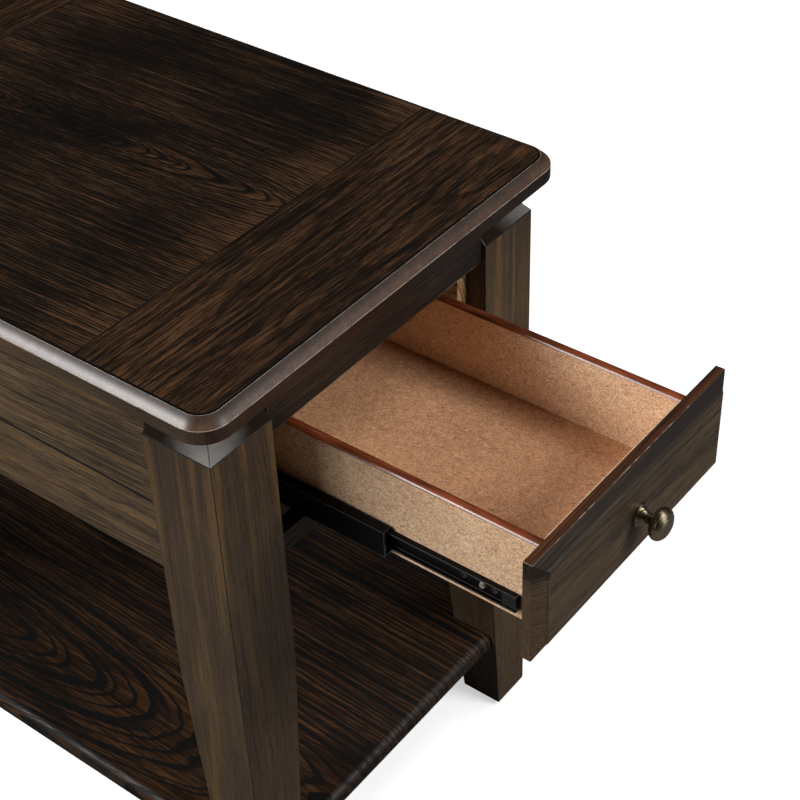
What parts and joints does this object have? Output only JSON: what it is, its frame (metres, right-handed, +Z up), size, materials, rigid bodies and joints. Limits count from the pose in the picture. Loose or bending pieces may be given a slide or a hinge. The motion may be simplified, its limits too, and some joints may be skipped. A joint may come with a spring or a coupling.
{
  "type": "nightstand",
  "caption": "Narrow dark wood nightstand with a bevelled breadboard top, tapered legs, a low shelf and a raised-panel drawer standing open on ball-bearing slides",
  "frame": {"origin": "the floor under the middle of the whole object as it stands at rest, the open drawer and its knob included", "axes": "+Z up; +Y from the drawer's end towards the back; +X to the right for someone who faces the drawer; the left and right halves mirror each other about the YZ plane"},
  "size_m": [0.432, 0.8974, 0.635],
  "materials": {
    "top_wood": "very dark espresso stain under a satin lacquer, open ring-porous grain",
    "frame_wood": "dark greyish brown stain, satin lacquer, straight open grain",
    "raw_wood": "plain sawn light wood",
    "packer_wood": "dark stained wood",
    "box_board": "tan wood-fibre board with a thin matt lacquer",
    "cap_wood": "reddish brown glossy edging",
    "slide_steel": "black coated cold-rolled steel, semi-gloss",
    "zinc_steel": "bright zinc plating",
    "black_plastic": "moulded, fine texture",
    "grey_plastic": "moulded, light grey",
    "dark_pewter": "cast zinc alloy with an antique dark pewter plating, soft shine"
  },
  "bodies": {
    "case": {"top_field": "top_wood", "breadboard_front": "top_wood", "breadboard_back": "top_wood", "top_edge_front": "top_wood", "top_edge_back": "top_wood", "top_edge_left": "top_wood", "top_edge_right": "top_wood", "leg_front_left": "frame_wood", "leg_front_right": "frame_wood", "leg_back_left": "frame_wood", "leg_back_right": "frame_wood", "apron_upper_left": "frame_wood", "apron_upper_right": "frame_wood", "apron_lower_left": "frame_wood", "apron_lower_right": "frame_wood", "apron_upper_back": "frame_wood", "apron_lower_back": "frame_wood", "front_rail_top": "frame_wood", "front_rail_bottom": "frame_wood", "apron_dowels": "raw_wood", "shelf_panel": "top_wood", "shelf_dowels": "raw_wood", "foot_glides": "black_plastic", "top_batten_left": "raw_wood", "top_batten_right": "raw_wood", "top_screws": "zinc_steel", "slide_cleat_left": "raw_wood", "slide_cleat_right": "raw_wood", "slide_packer_left": "packer_wood", "slide_packer_right": "packer_wood", "cleat_screws": "zinc_steel", "slide_case_left": "slide_steel", "slide_case_right": "slide_steel", "slide_case_screws": "zinc_steel"},
    "drawer": {"slide_drawer_left": "slide_steel", "slide_drawer_right": "slide_steel", "slide_bumper_left": "black_plastic", "slide_bumper_right": "black_plastic", "slide_drawer_screws": "zinc_steel", "drawer_front": "frame_wood", "drawer_box_front": "box_board", "drawer_box_back": "box_board", "drawer_side_left": "box_board", "drawer_side_right": "box_board", "drawer_cap_left": "cap_wood", "drawer_cap_right": "cap_wood", "drawer_bottom": "box_board", "front_screws": "zinc_steel", "knob": "dark_pewter", "knob_rose": "dark_pewter", "knob_screw": "zinc_steel"},
    "slide_middle_left": {"slide_mid_left": "slide_steel", "slide_stop_left": "grey_plastic"},
    "slide_middle_right": {"slide_mid_right": "slide_steel", "slide_stop_right": "grey_plastic"},
    "outer_balls_left": {"cage_outer_left": "zinc_steel"},
    "outer_balls_right": {"cage_outer_right": "zinc_steel"},
    "inner_balls_left": {"cage_inner_left": "zinc_steel"},
    "inner_balls_right": {"cage_inner_right": "zinc_steel"}
  },
  "joints": [
    {"name": "drawer_slide", "type": "slide", "parent": "case", "child": "drawer", "axis": [0, -1, 0], "range_m": [-0.227, 0.223]},
    {"name": "middle_slide_left", "type": "slide", "parent": "case", "child": "slide_middle_left", "axis": [0, -1, 0], "range_m": [-0.1135, 0.1115]},
    {"name": "middle_slide_right", "type": "slide", "parent": "case", "child": "slide_middle_right", "axis": [0, -1, 0], "range_m": [-0.1135, 0.1115]},
    {"name": "outer_cage_slide_left", "type": "slide", "parent": "case", "child": "outer_balls_left", "axis": [0, -1, 0], "range_m": [-0.0568, 0.0558]},
    {"name": "outer_cage_slide_right", "type": "slide", "parent": "case", "child": "outer_balls_right", "axis": [0, -1, 0], "range_m": [-0.0568, 0.0558]},
    {"name": "inner_cage_slide_left", "type": "slide", "parent": "case", "child": "inner_balls_left", "axis": [0, -1, 0], "range_m": [-0.1703, 0.1673]},
    {"name": "inner_cage_slide_right", "type": "slide", "parent": "case", "child": "inner_balls_right", "axis": [0, -1, 0], "range_m": [-0.1703, 0.1673]}
  ],
  "couplings": [
    {"joint": "middle_slide_left", "follows": "drawer_slide", "ratio": 0.5},
    {"joint": "middle_slide_right", "follows": "drawer_slide", "ratio": 0.5},
    {"joint": "outer_cage_slide_left", "follows": "drawer_slide", "ratio": 0.25},
    {"joint": "outer_cage_slide_right", "follows": "drawer_slide", "ratio": 0.25},
    {"joint": "inner_cage_slide_left", "follows": "drawer_slide", "ratio": 0.75},
    {"joint": "inner_cage_slide_right", "follows": "drawer_slide", "ratio": 0.75}
  ]
}
